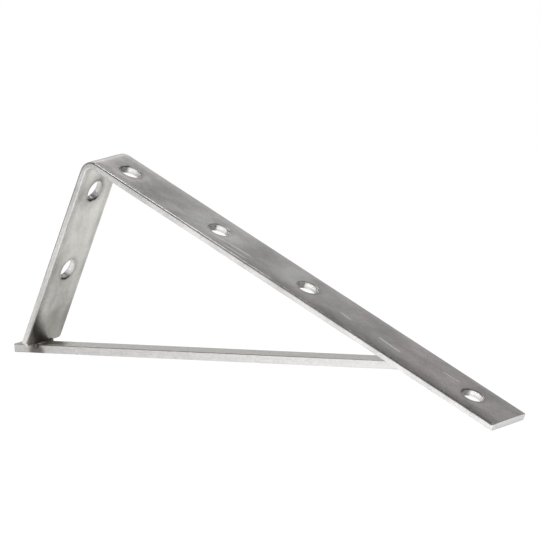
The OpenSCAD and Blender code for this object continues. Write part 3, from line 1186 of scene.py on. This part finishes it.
# (node, radius, shrink, ripple pitch, metal)
BEADS = (("lower_weld_front", LOWER_BEAD_R, SUNK_SHRINK, 1.0 * MM, burnt_weld),
         ("lower_weld_back", LOWER_BEAD_R, BEAD_SHRINK, 1.0 * MM, burnt_weld),
         ("upper_weld_front", UPPER_BEAD_R, BEAD_SHRINK, 1.3 * MM, clean_weld),
         ("upper_weld_back", UPPER_BEAD_R, BEAD_SHRINK, 1.3 * MM, clean_weld))
beads = {}
for seed, (node, radius, shrink, pitch, metal) in enumerate(BEADS):
    low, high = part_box(node)
    side = -1 if low.y < 0 and abs(low.y) > abs(high.y) else 1
    outermost = low.y if side < 0 else high.y
    beads[node] = grow(node + "_bead", bead_rule, {
        "Start X": low.x + radius, "Length": high.x - low.x - 2 * radius,
        "Centre Y": outermost - side * radius, "Centre Z": low.z + radius, "Radius": radius - shrink,
        "Ripple Pitch": pitch, "Unevenness": UNEVENNESS, "Seed": float(seed), "Roof Z": strip_low.z,
        "Weld Metal": metal})

# %% [markdown]
# ## Tying the pieces to the frame
# Each Blender piece stands for one CAD node, which stays hidden.

# %% List the node and slot of each piece, hide the node and tie the piece to the root body
pieces = [(strip, "angle_strip", "bar_steel"), (brace, "brace_bar", "brace_steel")]
pieces += [(bead, node, "weld_metal") for node, bead in beads.items()]
for piece, node, slot in pieces:
    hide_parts(node)
    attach(piece, "root")
print(len(pieces), "pieces on the root body")

# %% [markdown]
# ## The studio
# Bare steel shows little but its surroundings, so the studio is the second half of every finish here. It is a
# white table in a dim room, with three soft panels: one overhead, one in front and one far to the left. The
# camera sees the floor and the room as plain white, and only the steel sees the panels.
#
# The room is leaned as if the bracket lay on a table, on the stub of its brace and on the tip of its load
# arm: its up direction is not the frame's +Z but leans back by the slope of that line. The floor stays level.

# %% The floor, a sheet of pale board that keeps the bracket's shadow
FLOOR_LEFT_FRONT, FLOOR_LEFT_BACK = -160 * MM, -50 * MM     # past this slanting edge the steel sees the dark
FLOOR_RIGHT, FLOOR_HALF_DEPTH = 620 * MM, 450 * MM
FLOOR_GAP = 0.2 * MM
PAPER, WHITE = (0.9, 0.9, 0.9, 1), (1, 1, 1, 1)
GLOW_STRENGTH = 1.06
CAMERA_GLOW = 0.93                  # share of the floor's own light in what the camera sees
floor_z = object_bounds()[0].z - FLOOR_GAP
corners = [(FLOOR_LEFT_FRONT, -FLOOR_HALF_DEPTH, floor_z), (FLOOR_RIGHT, -FLOOR_HALF_DEPTH, floor_z),
           (FLOOR_RIGHT, FLOOR_HALF_DEPTH, floor_z), (FLOOR_LEFT_BACK, FLOOR_HALF_DEPTH, floor_z)]
floor_mesh = bpy.data.meshes.new("floor")
floor_mesh.from_pydata(corners, [], [(0, 1, 2, 3)])
floor = bpy.data.objects.new("floor", floor_mesh)
bpy.context.scene.collection.objects.link(floor)
print("floor at z = %.1f mm" % (floor_z / MM))

# %% The floor's material
floor_material = bpy.data.materials.new("pale_floor")
floor_material.use_nodes = True
tree = floor_material.node_tree
tree.nodes.clear()
paper = node_out(tree, "ShaderNodeBsdfDiffuse", {"Color": PAPER})
glow = node_out(tree, "ShaderNodeEmission", {"Color": WHITE, "Strength": GLOW_STRENGTH})
share = node_out(tree, "ShaderNodeLightPath", output="Is Camera Ray") * CAMERA_GLOW
surface = node_out(tree, "ShaderNodeMixShader", {0: share, 1: paper, 2: glow})
# From below the sheet is clear, so that the underside of the bracket can be looked at.
from_below = node_out(tree, "ShaderNodeNewGeometry", output="Backfacing")
clear = node_out(tree, "ShaderNodeBsdfTransparent")
surface = node_out(tree, "ShaderNodeMixShader", {0: from_below, 1: surface, 2: clear})
add_node(tree, "ShaderNodeOutputMaterial", {"Surface": surface})
floor_mesh.materials.append(floor_material)

# %% The room: dark above, bright towards the table
LEAN = math.radians(22.95)          # the table's slope in the frame, about the Y axis
# Light of the room by height, from the sine of the elevation
ROOM = ((-0.12, 1.0), (0.0, 0.7), (0.2, 0.66), (0.42, 0.54), (0.56, 0.42), (0.7, 0.22), (0.8, 0.14),
        (1.0, 0.14))
# Black flags that give the steel something dark to mirror: azimuth, elevation, spread in degrees, depth
FLAGS = ((-90, -6, 32, 1.0), (13, 38, 10, 0.8))


def room_direction(azimuth, elevation):
    """A direction in the frame from angles in the leaning room: azimuth 0 is +Y and 90 is +X"""
    a, e = math.radians(azimuth), math.radians(elevation)
    x, y, z = math.cos(e) * math.sin(a), math.cos(e) * math.cos(a), math.sin(e)
    return Vector((x * math.cos(LEAN) - z * math.sin(LEAN), y, x * math.sin(LEAN) + z * math.cos(LEAN)))


world = bpy.data.worlds.new("studio")
bpy.context.scene.world = world
world.use_nodes = True
tree = world.node_tree
tree.nodes.clear()
ray = node_out(tree, "ShaderNodeTexCoord", output="Generated")
height_share = ray.dot(room_direction(0, 90)) * 0.5 + 0.5
light = color_ramp(height_share, [(height / 2 + 0.5, (grey, grey, grey)) for height, grey in ROOM])
for azimuth, elevation, flag_spread, flag_depth in FLAGS:
    off_flag = ray.dot(room_direction(azimuth, elevation)) - 1.0
    flag = (off_flag / math.radians(flag_spread) ** 2).apply("EXPONENT")
    light = light * (1.0 - flag * flag_depth)
seen = node_out(tree, "ShaderNodeLightPath", output="Is Camera Ray")
background = node_out(tree, "ShaderNodeBackground", {"Color": mix_color(seen, light, WHITE), "Strength": 1.0})
add_node(tree, "ShaderNodeOutputWorld", {"Surface": background})
print("room lit in", len(ROOM), "steps, with", len(FLAGS), "flags")


# %% The lamps: three panels that the steel mirrors, and one wide lamp for the table
def soft_lamp(name, target, direction, distance, size, radiance, mirrored=True):
    """A round area lamp that shines at target from a direction; radiance 1 looks white in a mirror"""
    data = bpy.data.lights.new(name, "AREA")
    data.shape = "DISK"
    data.size = size
    data.energy = radiance * math.pi * math.pi * (size / 2) ** 2
    lamp = bpy.data.objects.new(name, data)
    bpy.context.scene.collection.objects.link(lamp)
    lamp.location = target + direction.normalized() * distance
    lamp.rotation_euler = direction.to_track_quat("Z", "Y").to_euler()
    lamp.visible_camera = False
    lamp.visible_glossy = mirrored
    print("%s: %.2f W" % (name, data.energy))


BEND_TOP = Vector((strip_low.x + 40 * MM, 0, strip_high.z))
MIDDLE = Vector(((strip_low.x + strip_high.x) / 2, 0, strip_low.z))
soft_lamp("overhead_panel", BEND_TOP, room_direction(-17, 60), distance=0.8, size=0.22, radiance=4.0)
soft_lamp("front_panel", BEND_TOP, room_direction(-160, 21), distance=0.8, size=0.2, radiance=1.4)
soft_lamp("left_panel", BEND_TOP, room_direction(-37.5, 28), distance=0.6, size=0.29, radiance=0.44)
soft_lamp("table_lamp", MIDDLE, Vector((0.3, -0.55, 0.85)), distance=1.0, size=0.45, radiance=17.0,
          mirrored=False)

# %% The camera, a long lens from the front and above
CAMERA_PLACE = Vector((1500.70, -2428.06, 1328.76)) * MM
CAMERA_RIGHT = Vector((0.7478453, 0.5885105, 0.3072178))
CAMERA_DOWN = Vector((0.4888184, -0.1750126, -0.8546503))
CAMERA_FORWARD = Vector((-0.4492037, 0.7893199, -0.4185572))
camera_data = bpy.data.cameras.new("camera")
camera_data.sensor_width = 36
camera_data.lens = 400
camera_data.clip_end = 20
camera = bpy.data.objects.new("camera", camera_data)
bpy.context.scene.collection.objects.link(camera)
camera.matrix_world = Matrix((CAMERA_RIGHT, -CAMERA_DOWN, -CAMERA_FORWARD)).transposed().to_4x4()
camera.location = CAMERA_PLACE
bpy.context.scene.camera = camera
bpy.context.scene.view_settings.view_transform = "Standard"
print("camera %.2f m from the bend" % (CAMERA_PLACE - BEND_TOP).length)
